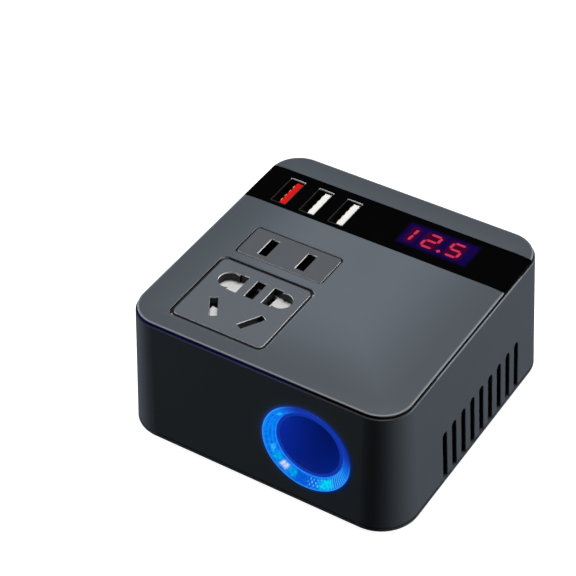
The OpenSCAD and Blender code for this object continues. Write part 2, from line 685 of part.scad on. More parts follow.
module heat_sink() color([0.7, 0.71, 0.73]) {
    block([-28, -25.5], [-32.2, 9.6], [board_top, 25.5]);
    for (i = [0:6]) block([-34.5, -28], [-32.2 + i * 6.7, -30.6 + i * 6.7], [board_top, 25.5]);
}

choke_at = [-8, -6, board_top + 6.3];

module choke_core() color([0.75, 0.7, 0.2]) translate(choke_at) ring(8, 4.4, [-4, 4]);

choke_turns = 14;

module choke_winding() color([0.72, 0.35, 0.15]) translate(choke_at) for (i = [1:choke_turns])
    rotate([0, 0, i * 360 / choke_turns]) translate([6.2, 0, 0]) difference() {
        post([0, 0], [5.6, 1.0], [-5.4, 5.4]);
        post([0, 0], [3.8, 2], [-4.1, 4.1]);
    }

module fuse_holder() color([0.1, 0.1, 0.11]) difference() {
    block([17, 35.5], [20, 27.5], [board_top, board_top + 8]);
    block([18.4, 34.1], [21.5, 26], [board_top + 2, board_top + 9]);
}

module fuse() color([0.2, 0.75, 0.3]) {
    block([18.6, 33.9], [21.7, 25.8], [board_top + 6, board_top + 14]);
    for (x = [20, 28.5]) block([x, x + 4.2], [23.5, 24.1], [board_top + 2, board_top + 6]);
}

module terminal_block() color([0.15, 0.5, 0.3]) difference() {
    block([-13, 4], [35, 37.8], [board_top, board_top + 9]);
    for (x = [-10.2, -4.5, 1.2]) block([x - 1.8, x + 1.8], [34, 36.8], [board_top + 4, board_top + 8]);
}

// ---------- fan ----------

module on_fan() translate([fan_x, fan_y, fan_z]) rotate([0, 90, 0]) children();

module fan_frame() color([0.08, 0.08, 0.09]) on_fan() difference() {
    union() {
        difference() {
            soft_block([-fan_s / 2, fan_s / 2], [-fan_s / 2, fan_s / 2], [0, fan_t], 1.5);
            translate([0, 0, -1]) cylinder(r = duct_r, h = fan_t + 2);
        }
        cylinder(r = hub_r, h = 1.6);
        cylinder(r = 2, h = 3.4);
        for (a = [30, 150, 270]) rotate([0, 0, a]) block([hub_r - 1, duct_r + 0.5], [-0.9, 0.9], [0, 1.4]);
    }
    translate([0, 0, 0.6]) cylinder(r = 0.8, h = 4);
    for (i = [-1, 1], j = [-1, 1]) translate([i * 10.8, j * 10.8, -1]) cylinder(r = 0.9, h = fan_t + 2);
}

// Cup with tilted blades and a shaft in the frame's bush
module fan_rotor() color([0.14, 0.14, 0.15]) on_fan() {
    difference() {
        translate([0, 0, 2.2]) cylinder(r = hub_r, h = fan_t - 2.8);
        translate([0, 0, 1]) cylinder(r = hub_r - 0.9, h = fan_t - 2.8);
    }
    translate([0, 0, 0.9]) cylinder(r = 0.75, h = fan_t - 2);
    intersection() {
        ring(duct_r - 0.4, hub_r - 0.3, [2.3, fan_t - 0.8]);
        for (i = [1:blade_count]) rotate([0, 0, i * 360 / blade_count])
            translate([hub_r - 0.4, 0, fan_t / 2 + 0.6]) rotate([38, 0, 0])
                block([0, 8], [-3.6, 3.6], [-0.4, 0.4]);
    }
}

// ---------- rear wall ----------

rocker_pivot = -3.2;            // depth of the rocker's pivot behind the wall
rocker_l = 14;

module rocker_housing() color([0.07, 0.07, 0.08]) on_rear(rocker_x, rocker_z) difference() {
    union() {
        soft_block([-9.5, 9.5], [-6.5, 6.5], [0.02, 0.6], 1);
        block([-8.5, 8.5], [-5.5, 5.5], [-12, 0.02]);
    }
    block([-rocker_l / 2 - 0.4, rocker_l / 2 + 0.4], [-4.3, 4.3], [-9, 1]);
    translate([0, 6, rocker_pivot]) rotate([90, 0, 0]) cylinder(r = 0.85, h = 12);
    for (x = [-4, 4]) block([x - 0.4, x + 0.4], [-2, 2], [-13, -8]);
}

// Rocker with its right half pressed in
module rocker() color([0.1, 0.1, 0.11]) on_rear(rocker_x, rocker_z) translate([0, 0, rocker_pivot]) {
    rotate([0, rocker_swing / 2, 0]) rotate([90, 0, 0]) linear_extrude(8, center = true) polygon([
        [-rocker_l / 2 + 0.3, 2.6], [0, 2.0], [rocker_l / 2 - 0.3, 2.6], [rocker_l / 2 - 0.3, 0.4],
        [2.6, -2.4], [-2.6, -2.4], [-rocker_l / 2 + 0.3, 0.4]]);
    rotate([90, 0, 0]) cylinder(r = 0.8, h = 10.4, center = true);
}

module rocker_terminals() color([0.8, 0.62, 0.28]) on_rear(rocker_x, rocker_z) for (x = [-4, 4])
    block([x - 0.4, x + 0.4], [-2, 2], [-18, -8]);

gland_r = 5.0;
gland_l = 8;

module cable_gland() color([0.07, 0.07, 0.08]) on_rear(gland_x, gland_z) rotate_extrude()
    polygon([[gland_bore_r, 0.6], [5.8, 0.6], [6.5, 0.02], [gland_r, 0.02], [gland_r, -gland_l],
             [gland_bore_r, -gland_l]]);

module gland_nut() color([0.1, 0.1, 0.11]) on_rear(gland_x, gland_z)
    translate([0, 0, -wall - 2.8]) difference() {
    cylinder(r = 7.2, h = 2.8, $fn = 6);
    translate([0, 0, -1]) cylinder(r = gland_r + 0.02, h = 5);
}

// Two insulated leads from the rocker's terminals down to the circuit board
module switch_leads() color([0.7, 0.1, 0.08]) for (x = [-4, 4]) translate([rocker_x + x, 0, 0]) {
    lead_r = 0.9;
    lead_y = wall_y(rocker_z) - 19.4;
    lead_z = rocker_z - 1.0;
    translate([0, lead_y + 1.35, lead_z]) rotate([90, 0, 0]) cylinder(r = lead_r, h = 1.35);
    translate([0, lead_y, lead_z]) sphere(r = lead_r);
    translate([0, lead_y, board_top]) cylinder(r = lead_r, h = lead_z - board_top);
}

top_cover();
housing();
base_plate();
rubber_feet();
case_screws();
display_strip();
display_window();
display_digits();
display_module();
display_board();
usb_shell_left();
usb_shell_middle();
usb_shell_right();
usb_tongue_left();
usb_tongue_middle();
usb_tongue_right();
usb_contacts();
usb_board();
two_pin_insert();
two_pin_contacts();
outlet_plate();
outlet_carrier();
live_contact();
neutral_contact();
earth_contact();
two_pin_shutter();
three_pin_shutter();
two_pin_springs();
three_pin_spring();
halo_ring();
halo_board();
halo_leds();
socket_barrel();
socket_insulator();
socket_centre_contact();
socket_nut();
main_board();
transformer_core();
transformer_bobbin();
transformer_winding();
bus_capacitor();
filter_capacitors();
power_transistors();
heat_sink();
choke_core();
choke_winding();
fuse();
fuse_holder();
terminal_block();
board_screws();
fan_frame();
fan_rotor();
rocker_housing();
rocker();
rocker_terminals();
cable_gland();
gland_nut();
switch_leads();
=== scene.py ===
"""Power inverter: camera, studio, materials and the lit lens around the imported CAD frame.

The row frame is in metres: +X towards the vents, +Y back, +Z up. Sizes and places on the part are
written in millimetres and multiplied by MM; a pair of them is a span across which a shade changes.
"""

import math

import bmesh
import bpy
from mathutils import Matrix, Vector


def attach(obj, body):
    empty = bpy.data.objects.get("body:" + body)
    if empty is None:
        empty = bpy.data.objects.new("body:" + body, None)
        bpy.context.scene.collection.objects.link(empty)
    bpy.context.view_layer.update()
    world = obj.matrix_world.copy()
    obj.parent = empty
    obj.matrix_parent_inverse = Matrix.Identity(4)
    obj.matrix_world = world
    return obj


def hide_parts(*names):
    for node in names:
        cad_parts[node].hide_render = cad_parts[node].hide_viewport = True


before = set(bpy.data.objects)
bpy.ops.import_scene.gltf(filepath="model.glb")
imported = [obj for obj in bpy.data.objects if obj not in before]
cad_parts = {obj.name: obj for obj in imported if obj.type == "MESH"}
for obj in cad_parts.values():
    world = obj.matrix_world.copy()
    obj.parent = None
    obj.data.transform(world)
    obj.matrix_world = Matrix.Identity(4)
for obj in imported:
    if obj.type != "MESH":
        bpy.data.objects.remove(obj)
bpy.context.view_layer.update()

MM = 0.001

# ---------- camera ----------


def make_camera():
    """The photo's view: from the right, above and in front."""
    azimuth, elevation, roll = map(math.radians, (33.3103, 41.0378, -1.5607))
    place = (0.240165, -0.393345, 0.443661)
    focal_length = 124.31
    sensor_width = 36
    flat = math.cos(elevation)
    back = Vector((math.sin(azimuth) * flat, -math.cos(azimuth) * flat, math.sin(elevation)))
    level = Vector((math.cos(azimuth), math.sin(azimuth), 0))
    rise = back.cross(level)
    right = math.cos(roll) * level + math.sin(roll) * rise
    up = -math.sin(roll) * level + math.cos(roll) * rise
    camera = bpy.data.objects.new("camera", bpy.data.cameras.new("camera"))
    camera.data.lens = focal_length
    camera.data.sensor_width = sensor_width
    camera.data.clip_start = 0.01
    camera.data.clip_end = 20
    turn = Matrix((right, up, back)).transposed().to_4x4()
    camera.matrix_world = Matrix.Translation(place) @ turn
    bpy.context.scene.collection.objects.link(camera)
    bpy.context.scene.camera = camera


make_camera()
bpy.context.scene.view_settings.view_transform = "Standard"

# ---------- places, from the CAD ----------

LID_TOP = 47.0
HALF_DEPTH = 47.0
HALF_WIDTH = 47.5
WALL_SPREAD = 2.3
WALL_HEIGHT = 46
LEAN = math.atan(WALL_SPREAD / WALL_HEIGHT)
VENT_MIDDLE_Y = 3.75
VENT_SPAN_X = (40, 41)
VENT_SPAN_Y = (26, 27)
VENT_PALE_FROM = (0.06, 0.12)
VENT_DARK_FROM = (0.28, 0.40)
BASE_EDGE = (2.02, 2.1)
RIM_FRONT = (45.0, 45.2)
RIM_LINE = (45.05, 45.12)
RIM_SEAM = (45.30, 45.37)
RIM_GROOVE = (44.9, 45.3)
LID_EDGE = (46.62, 46.70)
OPENINGS_LEFT = (-36.3, -36.1)
OPENINGS_RIGHT = (0, 1)
OPENINGS_FRONT = (-41.3, -41.1)
OPENINGS_BACK = (11, 12)
MOAT_OUTER = (0.95, 1.1)
MOAT_SHADOW = (0.60, 0.75)
MOAT_BACK = (-8.5, -8.0)
PLATE_LEFT = (-34.6, -34.4)
PLATE_BACK = (-10.6, -10.4)
PLATE_CENTRE = (-18.5, -24.95)
PLATE_HALF = (14.1, 12.65)
PLATE_CORNER = 1.8
WINDOW_CENTRE = (18.9, 29.0)
WINDOW_HALF = (11.3, 4.3)
DIGIT_Y = 29.05
DIGIT_HALF_HEIGHT = 2.9
DIGIT_SPANS = ((9.95, 0.5), (16.5, 1.9), (24.95, 1.9))
RING_R = 15.2
SLEEVE_R = 14.2
MOUTH_R = 11.7
RIB_COUNT = 84


def wall_point(x, z, side):
    """A point on the front (side -1) or rear (side 1) wall, in metres."""
    return Vector((x, side * (HALF_DEPTH + WALL_SPREAD * (LID_TOP - z) / WALL_HEIGHT), z)) * MM


def wall_frame(x, z, side):
    """A frame on that wall with +Z square to the face, outwards."""
    quarter = math.radians(90)
    turn = Matrix.Rotation(quarter - LEAN if side < 0 else LEAN - quarter, 4, "X")
    return Matrix.Translation(wall_point(x, z, side)) @ turn


SOCKET = wall_frame(18, 23.2, -1)
SOCKET_PLACE = tuple(SOCKET.translation)
SOCKET_OUT = tuple(SOCKET.to_3x3() @ Vector((0, 0, 1)))

# ---------- node helpers ----------


class Tree:
    """Short calls for building one material's nodes."""

    sockets = {"color": "Base Color", "rough": "Roughness", "metallic": "Metallic",
               "specular": "Specular IOR Level", "emission": "Emission Color",
               "strength": "Emission Strength"}

    def __init__(self, name):
        self.material = bpy.data.materials.new(name)
        self.material.use_nodes = True
        self.nodes = self.material.node_tree.nodes
        self.links = self.material.node_tree.links
        self.shader = self.nodes["Principled BSDF"]
        self.place = self.add("ShaderNodeTexCoord").outputs["Object"]

    def add(self, kind, **values):
        node = self.nodes.new(kind)
        for key, value in values.items():
            setattr(node, key, value)
        return node

    def put(self, socket, value):
        """Link a node's output to the socket, or set a constant on it."""
        if isinstance(value, bpy.types.NodeSocket):
            self.links.new(value, socket)
        else:
            socket.default_value = value

    def set(self, **values):
        """Set the shader's own inputs."""
        for key, value in values.items():
            self.put(self.shader.inputs[self.sockets[key]], rgba(value))

    def math(self, operation, *values):
        node = self.add("ShaderNodeMath", operation=operation)
        for socket, value in zip(node.inputs, values):
            self.put(socket, value)
        return node.outputs[0]

    def vector(self, operation, *values):
        node = self.add("ShaderNodeVectorMath", operation=operation)
        for socket, value in zip(node.inputs, values):
            self.put(socket, value)
        return node.outputs["Value" if operation in ("DOT_PRODUCT", "LENGTH") else "Vector"]

    def times(self, first, *others):
        """The product of several values."""
        for other in others:
            first = self.math("MULTIPLY", first, other)
        return first

    def wave(self, angle):
        """Sine of an angle, moved to run between 0 and 1."""
        return self.math("ADD", self.times(self.math("SINE", angle), 0.5), 0.5)

    def axes(self):
        """The place's three coordinates, in metres."""
        split = self.add("ShaderNodeSeparateXYZ")
        self.put(split.inputs[0], self.place)
        return split.outputs["X"], split.outputs["Y"], split.outputs["Z"]

    def along(self, direction, origin=(0, 0, 0)):
        """Distance along a direction from an origin, in metres."""
        return self.vector("DOT_PRODUCT", self.vector("SUBTRACT", self.place, origin), direction)

    def ramp(self, value, low, high, start=0.0, end=1.0, smooth=True):
        """Clamped change from start to end as value goes from low to high."""
        kind = "SMOOTHSTEP" if smooth else "LINEAR"
        node = self.add("ShaderNodeMapRange", interpolation_type=kind)
        for socket, v in zip(node.inputs, (value, low, high, start, end)):
            self.put(socket, v)
        return node.outputs["Result"]

    def fade(self, value, low, high):
        """One up to low, falling to zero at high."""
        return self.ramp(value, low, high, 1.0, 0.0)

    def past(self, span, value, start=0.0, end=1.0):
        """Change from start to end across a span given in millimetres."""
        return self.ramp(value, span[0] * MM, span[1] * MM, start, end)

    def before(self, span, value):
        """One before a span given in millimetres, falling to zero across it."""
        return self.past(span, value, 1.0, 0.0)

    def noise(self, scale, detail=2.0, stretch=(1, 1, 1), roughness=0.5):
        place = self.place
        if stretch != (1, 1, 1):
            place = self.vector("MULTIPLY", place, stretch)
        node = self.add("ShaderNodeTexNoise")
        self.put(node.inputs["Vector"], place)
        self.put(node.inputs["Scale"], scale)
        self.put(node.inputs["Detail"], detail)
        self.put(node.inputs["Roughness"], roughness)
        return node.outputs["Fac"]

    def mix(self, factor, a, b, blend="MIX"):
        node = self.add("ShaderNodeMix", data_type="RGBA", blend_type=blend)
        self.put(node.inputs["Factor"], factor)
        for key, value in (("A", a), ("B", b)):
            socket = [s for s in node.inputs if s.name == key and s.type == "RGBA"][0]
            self.put(socket, rgba(value))
        return [s for s in node.outputs if s.type == "RGBA"][0]

    def glow(self, color, amount):
        """A color scaled by an amount."""
        return self.mix(amount, (0, 0, 0), color)

    def add_colors(self, a, b):
        return self.mix(1.0, a, b, "ADD")

    def roughen(self, grain, low, high, smooth=True):
        """Roughness that follows a noise, between two values."""
        self.set(rough=self.ramp(grain, 0.3, 0.7, low, high, smooth))

    def bump(self, height, distance):
        node = self.add("ShaderNodeBump")
        self.put(node.inputs["Height"], height)
        self.put(node.inputs["Distance"], distance)
        self.put(node.inputs["Strength"], 1.0)
        self.put(self.shader.inputs["Normal"], node.outputs["Normal"])


def rgba(value):
    """A three-part color with alpha added; anything else as it is."""
    return (*value, 1.0) if isinstance(value, tuple) and len(value) == 3 else value


def scaled(color, factor):
    return tuple(min(1.0, c * factor) for c in color)


def surface(name, color, rough, metallic=0.0, spread=0.08, patch=60, grain=2500, depth=0.01,
            stretch=(1, 1, 1), specular=0.5):
    """A material whose color drifts in patches, and whose roughness and bump follow a fine grain."""
    t = Tree(name)
    drift = t.noise(patch, 3.0)
    t.set(color=t.mix(drift, scaled(color, 1 - spread), scaled(color, 1 + spread)), metallic=metallic,
          specular=specular)
    grain_noise = t.noise(grain, 2.0, stretch)
    t.roughen(grain_noise, rough[0], rough[1], smooth=False)
    t.bump(grain_noise, depth * MM)
    return t.material


# ---------- case plastic ----------

CASE = (0.070, 0.083, 0.098)
# near black for painted shade and painted shadow
PAINTED_SHADE = (0.001, 0.001, 0.0014)


def box_distance(t, x, y, centre, half):
    """Distance in metres outside a rectangle in the lid's plane."""
    squares = []
    for value, middle, reach in zip((x, y), centre, half):
        away = t.math("ABSOLUTE", t.math("SUBTRACT", value, middle * MM))
        past = t.math("MAXIMUM", t.math("SUBTRACT", away, reach * MM), 0.0)
        squares.append(t.times(past, past))
    return t.math("SQRT", t.math("ADD", *squares))


def socket_axis(t):
    """Squared distance from the car socket's axis, and height outside the wall, in metres."""
    offset = t.vector("SUBTRACT", t.place, SOCKET_PLACE)
    height = t.vector("DOT_PRODUCT", offset, SOCKET_OUT)
    length = t.vector("LENGTH", offset)
    squared = t.math("SUBTRACT", t.math("POWER", length, 2.0), t.math("POWER", height, 2.0))
    return squared, height


def lid_shade(t, base, x, y, z, color):
    """Painted shade, darker away from the lid's middle, and a painted highlight on the edge below its face.
    """
    reach = t.math("MAXIMUM", t.math("ABSOLUTE", x), t.math("ABSOLUTE", y))
    base = t.mix(t.past((14, HALF_DEPTH), reach, 0.0, 0.62), base, scaled(color, 0.35))
    return t.mix(t.past(LID_EDGE, z, 0.8, 0.0), base, (0.22, 0.23, 0.25))


def wall_rim(t, base, y, z, color):
    """The housing's upper edge: painted shade in front, a painted highlight line elsewhere, then the seam
    painted dark as shadow.
    """
    front = t.times(t.past(RIM_FRONT, z, 0.0, 0.8), t.before((-40, -30), y))
    base = t.mix(front, base, (0.008, 0.009, 0.011))
    line = t.times(t.past(RIM_LINE, z, 0.0, 0.5), t.past((-42, -36), y))
    base = t.mix(line, base, scaled(color, 2.2))
    return t.mix(t.past(RIM_SEAM, z), base, PAINTED_SHADE)


def vent_walls(t, base, x, y, z, color):
    """The vents' walls: a painted highlight at the leaning right face, painted shade just inside it."""
    slope = math.tan(LEAN)
    face_foot = HALF_WIDTH * MM + slope * LID_TOP * MM
    inward = t.math("SUBTRACT", face_foot, t.math("ADD", x, t.times(z, slope)))
    sideways = t.math("ABSOLUTE", t.math("SUBTRACT", y, VENT_MIDDLE_Y * MM))
    vents = t.times(t.past(VENT_SPAN_X, x), t.before(VENT_SPAN_Y, sideways))
    base = t.mix(t.times(vents, t.past(VENT_PALE_FROM, inward)), base, scaled(color, 1.9))
    return t.mix(t.times(vents, t.past(VENT_DARK_FROM, inward)), base, PAINTED_SHADE)


def moat_edges(t, x, y, arris, deep):
    """Round the universal outlet: painted shade beside the plate, a painted highlight along the moat's
    outer edge.
    """
    plate = box_distance(t, x, y, PLATE_CENTRE, PLATE_HALF)
    moat = t.math("SUBTRACT", plate, PLATE_CORNER * MM)
    wider = MOAT_SHADOW[1] * MM
    left_side = t.past(PLATE_LEFT, x, wider, 0.0)
    back_side = t.past(PLATE_BACK, y, 0.0, wider)
    shadow = t.math("SUBTRACT", moat, t.math("MAXIMUM", left_side, back_side))
    behind = t.past(MOAT_BACK, y)
    beside_plate = t.math("MAXIMUM", t.before(MOAT_SHADOW, shadow), behind)
    edge_line = t.times(t.past(MOAT_OUTER, moat), t.before(MOAT_BACK, y))
    arris = t.times(arris, t.math("MAXIMUM", edge_line, behind), 0.45)
    return arris, t.times(deep, beside_plate)


def opening_walls(t, base, x, y, z, cut, lid):
    """A painted highlight on the arris round the outlets' openings, and painted shade on the walls from the
    cut downwards.
    """
    within = t.times(t.past(OPENINGS_LEFT, x), t.before(OPENINGS_BACK, y),
                     t.before(OPENINGS_RIGHT, x), t.past(OPENINGS_FRONT, y))
    arris = t.times(within, t.before((LID_TOP - 0.03, LID_TOP - 0.01), z))
    deep = t.times(within, t.before((LID_TOP - cut - 0.1, LID_TOP - cut), z))
    if lid:
        arris, deep = moat_edges(t, x, y, arris, deep)
    base = t.mix(arris, base, (0.5, 0.51, 0.53) if lid else (0.85, 0.86, 0.88))
    return t.mix(deep, base, PAINTED_SHADE)


def lens_glow(t, x, y, z):
    """The lens's blue light painted as glow on the wall round it and along the front groove."""
    squared, height = socket_axis(t)
    radius = t.math("SQRT", t.math("MAXIMUM", squared, 0.0))
    near = t.before((RING_R - 0.2, RING_R + 1.7), radius)
    far = t.before((RING_R - 1.0, RING_R + 5.0), radius)
    outside = t.past((-1.5, -0.2), height)
    halo = t.add_colors(t.glow((0.0, 0.012, 0.16), t.math("POWER", near, 2.0)),
                        t.glow((0.0, 0.006, 0.016), t.math("POWER", far, 2.0)))
    groove = t.times(t.past(RIM_GROOVE, z), t.before((-44, -42), y), t.before((5, 25), x))
    return t.add_colors(t.glow(halo, outside), t.glow((0.001, 0.001, 0.022), groove))


def case_plastic(name, color=CASE, lit=False, lid=False, seat=False, cut=None):
    """Satin moulded plastic with a fine spark-eroded grain.

    lid paints shade on the lid's face and a highlight on its edge. lit is for the housing: painted
    shade and highlights on its rim and vents, and the lens's light painted on as glow. seat paints
    shade on the base above its visible edge. cut is how far in millimetres below the lid's top the
    walls of the openings get painted shade.
    """
    t = Tree(name)
    x, y, z = t.axes()
    speck = t.noise(2600, 2.0, roughness=0.6)
    base = t.mix(t.noise(45, 2.0), scaled(color, 0.95), scaled(color, 1.05))
    base = t.mix(t.ramp(speck, 0.35, 0.65, 0.0, 0.16, smooth=False), base, scaled(color, 1.5))
    if lid:
        base = lid_shade(t, base, x, y, z, color)
    if lit:
        # painted shade and highlights on the rim and vents, and the lens's light painted on as glow
        base = wall_rim(t, base, y, z, color)
        base = vent_walls(t, base, x, y, z, color)
        t.set(emission=lens_glow(t, x, y, z), strength=1.0)
    if seat:
        # painted shade on the base above its visible edge
        base = t.mix(t.past(BASE_EDGE, z), base, PAINTED_SHADE)
    if cut:
        base = opening_walls(t, base, x, y, z, cut, lid)
    t.set(color=base, specular=0.3 if cut else 0.36)
    t.roughen(speck, 0.42, 0.54, smooth=False)
    t.bump(speck, 0.006 * MM)
    return t.material


# ---------- display ----------


def gloss_black(name):
    """Piano-black strip with faint polishing haze."""
    return surface(name, (0.0010, 0.0010, 0.0012), (0.05, 0.09), spread=0.3, patch=150, grain=900,
                   depth=0.0008, specular=0.06)


def display_glass(name):
    """Dark glass, its backlight fading at the window's rim, a dim red haze round each digit."""
    t = Tree(name)
    x, y, _ = t.axes()
    cloud = t.noise(260, 2.0)
    t.set(color=t.mix(cloud, (0.001, 0.0005, 0.004), (0.003, 0.001, 0.010)), specular=0.16)
    t.roughen(cloud, 0.06, 0.12)
    rim = box_distance(t, x, y, WINDOW_CENTRE, WINDOW_HALF)
    lamp = t.times(t.past((0.0, 1.5), rim, 1.0, 0.02), t.ramp(cloud, 0.3, 0.7, 0.85, 1.1))
    light = t.glow((0.003, 0.0005, 0.050), lamp)
    for digit_x, half_width in DIGIT_SPANS:
        away = box_distance(t, x, y, (digit_x, DIGIT_Y), (half_width, DIGIT_HALF_HEIGHT))
        light = t.mix(t.past((0.0, 1.9), away, 0.9, 0.0), light, (0.060, 0.0, 0.008))
    t.set(emission=light, strength=1.0)
    t.bump(t.noise(1800, 2.0), 0.0006 * MM)
    return t.material


def digit_red(name):
    """Red segments that glow a little unevenly."""
    t = Tree(name)
    grain = t.noise(1400, 2.0)
    light = t.mix(t.ramp(grain, 0.35, 0.65, 0.0, 0.5), (0.32, 0.020, 0.042), (0.22, 0.016, 0.045))
    t.set(color=(0.2, 0.01, 0.03), specular=0.3, emission=light, strength=1.0)
    t.roughen(grain, 0.2, 0.3)
    t.bump(grain, 0.001 * MM)
    return t.material


# ---------- lit lens and barrel ----------

LENS_DIM = (0.006, 0.030, 0.36)
STREAK_BAND = ((11.6, 12.0), (14.4, 15.0))
STRIPE_PITCH = 0.95
DOT_PITCH = 1.5
DOTS_ROUND = 63.0


class LensTree(Tree):
    """Polar helpers in the lens's own frame, whose +Z is the socket's axis."""

    def __init__(self, name):
        super().__init__(name)
        self.x, self.y, self.z = self.axes()
        self.radius = self.math("SQRT", self.math("ADD", self.times(self.x, self.x),
                                                  self.times(self.y, self.y)))
        self.angle = self.math("ARCTAN2", self.y, self.x)
        self.ribs = self.wave(self.times(self.angle, float(RIB_COUNT)))
        self.mottle = self.noise(900, 3.0, roughness=0.7)

    def facing(self, degrees):
        """Cosine of the angle between a point's direction and a given one."""
        turn = math.radians(degrees)
        reach = self.math("ADD", self.times(self.x, math.cos(turn)), self.times(self.y, math.sin(turn)))
        return self.math("DIVIDE", reach, self.radius)

    def rings(self, pitch):
        """Sine of the radius, one period per pitch."""
        return self.math("SINE", self.times(self.radius, 2 * math.pi / (pitch * MM)))

    def spot(self, degrees, width, inner, outer, ragged=0.0):
        """Soft patch of light round a direction, between two radii, with a ragged edge."""
        edge = math.cos(math.radians(width))
        full = math.cos(math.radians(width * 0.15))
        band = self.times(self.past(inner, self.radius), self.before(outer, self.radius))
        patch = self.times(self.ramp(self.facing(degrees), edge, full), band)
        if ragged:
            patch = self.times(patch, self.ramp(self.mottle, 0.38, 0.62, 1.0 - ragged, 1.0))
        return patch


def lens_body(t, dim):
    """Blue plastic: faint rings at the left, dim at the upper right, ribs catching light."""
    body = t.mix(t.ramp(t.mottle, 0.35, 0.65), (0.001, 0.115, 0.70), (0.003, 0.225, 0.92))
    stripes = t.times(t.ramp(t.rings(STRIPE_PITCH), -0.2, 0.8, 0.0, 0.45), t.ramp(t.facing(170), 0.5, 0.9))
    body = t.mix(stripes, body, (0.004, 0.32, 1.0))
    body = t.mix(dim, body, LENS_DIM)
    low = t.spot(268, 26, (11.7, 12.2), (14.2, 14.8))
    body = t.mix(t.times(low, 0.6), body, (0.001, 0.060, 0.55))
    body = t.mix(t.spot(326, 26, *STREAK_BAND), body, (0.001, 0.090, 0.62))
    streaks = t.times(t.spot(326, 24, *STREAK_BAND), t.ribs, 0.9)
    return t.mix(streaks, body, (0.050, 0.50, 1.0))


def lens_lamps(t, body):
    """The lamps behind the lens: a dotted patch, a cyan one, small ones and one near white."""
    dots = t.times(t.math("SINE", t.times(t.angle, DOTS_ROUND)), t.rings(DOT_PITCH))
    dots = t.times(t.ramp(dots, 0.25, 0.6), t.spot(283, 15, (11.8, 12.1), (14.3, 14.8)))
    body = t.mix(t.times(dots, t.ramp(t.mottle, 0.42, 0.60, 0.1, 0.9)), body, (0.15, 0.62, 1.0))
    body = t.mix(t.spot(301, 16, (11.9, 12.6), (14.0, 15.0), 0.55), body, (0.0, 0.74, 0.84))
    for degrees, width in ((220, 9), (248, 8)):
        lamp = t.spot(degrees, width, (12.0, 12.8), (13.6, 14.5), 0.7)
        body = t.mix(lamp, body, (0.0, 0.50, 0.78))
    for degrees, width in ((138, 6), (204, 6), (208, 5)):
        lamp = t.spot(degrees, width, (12.1, 12.8), (13.2, 14.1), 0.85)
        body = t.mix(lamp, body, (0.03, 0.48, 1.0))
    return t.mix(t.spot(234, 8.0, (12.0, 12.8), (13.4, 14.3), 0.45), body, (0.62, 0.80, 0.92))


def lens_rims(t, body, dim):
    """A bright line along the lens's outer and inner rims."""
    outer = t.mix(dim, (0.030, 0.30, 1.0), LENS_DIM)
    inner = t.mix(dim, (0.014, 0.24, 1.0), (0.022, 0.100, 0.60))
    body = t.mix(t.past((14.7, 14.85), t.radius, 0.0, 0.9), body, outer)
    return t.mix(t.past((11.80, 12.0), t.radius, 0.75, 0.0), body, inner)


def lens_material():
    """Clear blue plastic lit from behind, darker down inside the mouth."""
    t = LensTree("halo")
    dim = t.ramp(t.facing(58), 0.15, 0.75)
    body = lens_rims(t, lens_lamps(t, lens_body(t, dim)), dim)
    inside = t.past((-3.2, -2.1), t.z, 0.3, 1.0)
    t.set(color=(0.002, 0.015, 0.08), specular=0.25, emission=t.glow(body, inside), strength=1.0)
    t.set(rough=t.ramp(t.ribs, 0.0, 1.0, 0.20, 0.34))
    t.bump(t.ribs, 0.03 * MM)
    return t.material


def lit_metal(name):
    """Nickel barrel with the lens's blue light painted on as glow, dimmer towards the bottom of the bore.
    """
    t = Tree(name)
    scratches = t.noise(900, 3.0, (1.0, 0.06, 1.0))
    t.set(color=t.mix(scratches, (0.10, 0.11, 0.14), (0.16, 0.17, 0.21)), metallic=1.0)
    t.roughen(scratches, 0.32, 0.5)
    squared, height = socket_axis(t)
    inner = t.fade(squared, (11.65 * MM) ** 2, (11.8 * MM) ** 2)
    aside = t.along((1, 0, -0.4), SOCKET_PLACE)
    wash = t.times(t.past((-30, -2), height, 0.35, 1.0), t.past((-11, 4), aside, 1.0, 0.6))
    bore = t.glow((0.0024, 0.017, 0.250), t.times(inner, wash))
    # painted blue glow on the barrel's rim, standing for the lens's light
    rim = t.past((-2.25, -2.15), height)
    t.set(emission=t.mix(rim, bore, (0.003, 0.030, 0.34)), strength=1.0)
    t.bump(scratches, 0.002 * MM)
    return t.material


# ---------- inner parts ----------


def circuit_board(name):
    """Green solder mask over copper tracks, with scattered pale pads."""
    t = Tree(name)
    track = t.add("ShaderNodeTexBrick")
    t.put(track.inputs["Vector"], t.place)
    t.put(track.inputs["Scale"], 260.0)
    t.put(track.inputs["Mortar Size"], 0.03)
    t.put(track.inputs["Color1"], (0.010, 0.075, 0.030, 1))
    t.put(track.inputs["Color2"], (0.013, 0.095, 0.040, 1))
    t.put(track.inputs["Mortar"], (0.022, 0.15, 0.06, 1))
    pads = t.add("ShaderNodeTexVoronoi")
    t.put(pads.inputs["Vector"], t.place)
    t.put(pads.inputs["Scale"], 330.0)
    t.put(pads.inputs["Randomness"], 0.55)
    pad = t.fade(pads.outputs["Distance"], 0.16, 0.22)
    t.set(color=t.mix(pad, track.outputs["Color"], (0.62, 0.60, 0.55)), specular=0.45)
    t.set(metallic=t.times(pad, 0.8))
    t.roughen(t.noise(500), 0.28, 0.42)
    t.bump(t.math("ADD", pad, t.times(track.outputs["Fac"], 0.4)), 0.03 * MM)
    return t.material


def brushed(name, color, rough, stretch):
    """Metal with fine scratches, long in the direction whose stretch is small."""
    return surface(name, color, rough, metallic=1.0, spread=0.10, patch=90, grain=1600, depth=0.003,
                   stretch=stretch)


